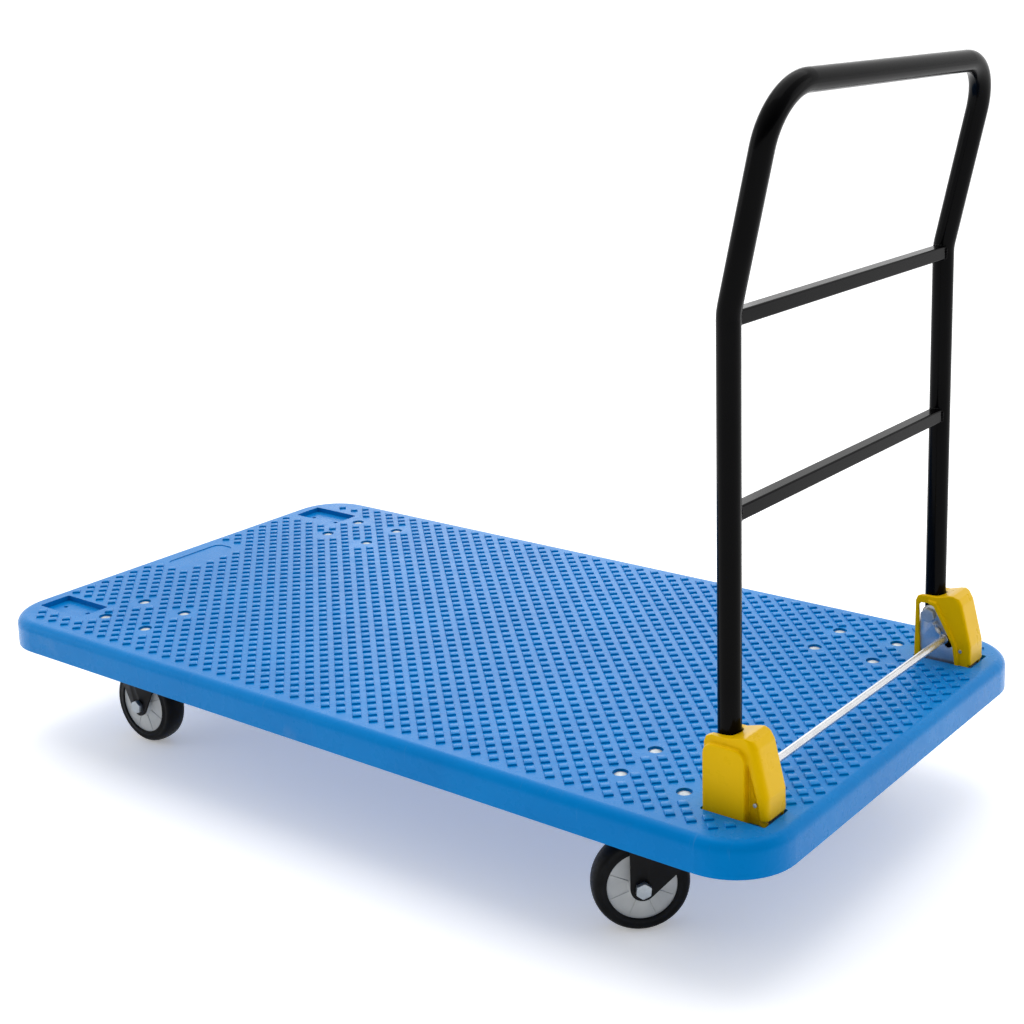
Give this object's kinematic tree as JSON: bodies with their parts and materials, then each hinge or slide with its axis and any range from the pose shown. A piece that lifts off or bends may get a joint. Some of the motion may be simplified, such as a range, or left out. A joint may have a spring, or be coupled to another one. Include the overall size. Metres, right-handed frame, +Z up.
{
  "type": "folding platform cart",
  "caption": "Flat moulded platform on two fixed and two swivel casters, with a push handle that unlocks with a foot bar and folds down.",
  "frame": {"origin": "on the floor under the centre of the deck", "axes": "+X towards the handle end, +Y to the right of someone pushing it, +Z up"},
  "size_m": [1.216, 0.66, 0.9327],
  "materials": {
    "deck_blue": "satin moulded plastic, mid blue",
    "cover_yellow": "smooth moulded plastic, golden yellow",
    "handle_black": "gloss black powder coat",
    "caster_black": "semi-gloss black paint",
    "tyre_rubber": "black rubber",
    "wheel_grey": "mid grey moulded plastic",
    "stop_rubber": "black rubber",
    "bush_nylon": "natural nylon",
    "zinc_plate": "bright zinc-plated sheet",
    "rod_zinc": "zinc-plated round bar",
    "spring_steel": "bright spring steel",
    "zinc_fastener": "zinc-plated fastener"
  },
  "bodies": {
    "cart": {"bracket_bolts": "zinc_fastener", "bracket_nuts": "zinc_fastener", "caster_bolts": "zinc_fastener", "caster_nuts": "zinc_fastener", "caster_washers": "zinc_fastener", "cover_screws": "zinc_fastener", "deck": "deck_blue", "front_axle_bolt_left": "zinc_fastener", "front_axle_bolt_right": "zinc_fastener", "front_axle_nut_left": "zinc_fastener", "front_axle_nut_right": "zinc_fastener", "front_axle_sleeve_left": "zinc_fastener", "front_axle_sleeve_right": "zinc_fastener", "front_fork_left": "caster_black", "front_fork_right": "caster_black", "hinge_bracket_left": "zinc_plate", "hinge_bracket_right": "zinc_plate", "hinge_cover_left": "cover_yellow", "hinge_cover_right": "cover_yellow", "pivot_bolt_left": "zinc_fastener", "pivot_bolt_right": "zinc_fastener", "pivot_nut_left": "zinc_fastener", "pivot_nut_right": "zinc_fastener", "pivot_washers": "bush_nylon", "rear_balls_left": "spring_steel", "rear_balls_right": "spring_steel", "rear_kingpin_left": "zinc_fastener", "rear_kingpin_right": "zinc_fastener", "rear_plate_left": "caster_black", "rear_plate_right": "caster_black", "release_spring_left": "spring_steel", "release_spring_right": "spring_steel", "rod_stop_left": "stop_rubber", "rod_stop_right": "stop_rubber"},
    "handle": {"handle_tube": "handle_black", "crossbar_upper": "handle_black", "crossbar_lower": "handle_black", "pivot_bush_left": "bush_nylon", "pivot_bush_right": "bush_nylon"},
    "release_bar": {"release_rod": "rod_zinc", "rod_clips": "zinc_fastener"},
    "rear_caster_left": {"rear_fork_left": "caster_black", "rear_axle_bolt_left": "zinc_fastener", "rear_axle_nut_left": "zinc_fastener", "rear_axle_sleeve_left": "zinc_fastener"},
    "rear_wheel_left": {"rear_tyre_left": "tyre_rubber", "rear_wheel_centre_left": "wheel_grey"},
    "front_wheel_left": {"front_tyre_left": "tyre_rubber", "front_wheel_centre_left": "wheel_grey"},
    "rear_caster_right": {"rear_fork_right": "caster_black", "rear_axle_bolt_right": "zinc_fastener", "rear_axle_nut_right": "zinc_fastener", "rear_axle_sleeve_right": "zinc_fastener"},
    "rear_wheel_right": {"rear_tyre_right": "tyre_rubber", "rear_wheel_centre_right": "wheel_grey"},
    "front_wheel_right": {"front_tyre_right": "tyre_rubber", "front_wheel_centre_right": "wheel_grey"}
  },
  "joints": [
    {"name": "handle_fold", "type": "hinge", "parent": "cart", "child": "handle", "pos_m": [0.524, 0, 0.238], "axis": [0, -1, 0], "range_deg": [0, 95]},
    {"name": "release_press", "type": "slide", "parent": "cart", "child": "release_bar", "axis": [0.6139, 0, -0.7894], "range_m": [0, 0.008], "stiffness_N_per_m": 1500, "springref_m": -0.006, "deforming": ["release_spring_left", "release_spring_right"]},
    {"name": "rear_swivel_left", "type": "hinge", "parent": "cart", "child": "rear_caster_left", "pos_m": [0.43, -0.216, 0.145], "axis": [0, 0, 1], "continuous": true},
    {"name": "rear_wheel_spin_left", "type": "hinge", "parent": "rear_caster_left", "child": "rear_wheel_left", "pos_m": [0.4053, -0.23936, 0.055], "axis": [-0.6871, 0.7266, 0], "continuous": true},
    {"name": "front_wheel_spin_left", "type": "hinge", "parent": "cart", "child": "front_wheel_left", "pos_m": [-0.43, -0.216, 0.055], "axis": [0, 1, 0], "continuous": true},
    {"name": "rear_swivel_right", "type": "hinge", "parent": "cart", "child": "rear_caster_right", "pos_m": [0.43, 0.216, 0.145], "axis": [0, 0, 1], "continuous": true},
    {"name": "rear_wheel_spin_right", "type": "hinge", "parent": "rear_caster_right", "child": "rear_wheel_right", "pos_m": [0.39766, 0.20549, 0.055], "axis": [-0.309, 0.9511, 0], "continuous": true},
    {"name": "front_wheel_spin_right", "type": "hinge", "parent": "cart", "child": "front_wheel_right", "pos_m": [-0.43, 0.216, 0.055], "axis": [0, 1, 0], "continuous": true}
  ]
}
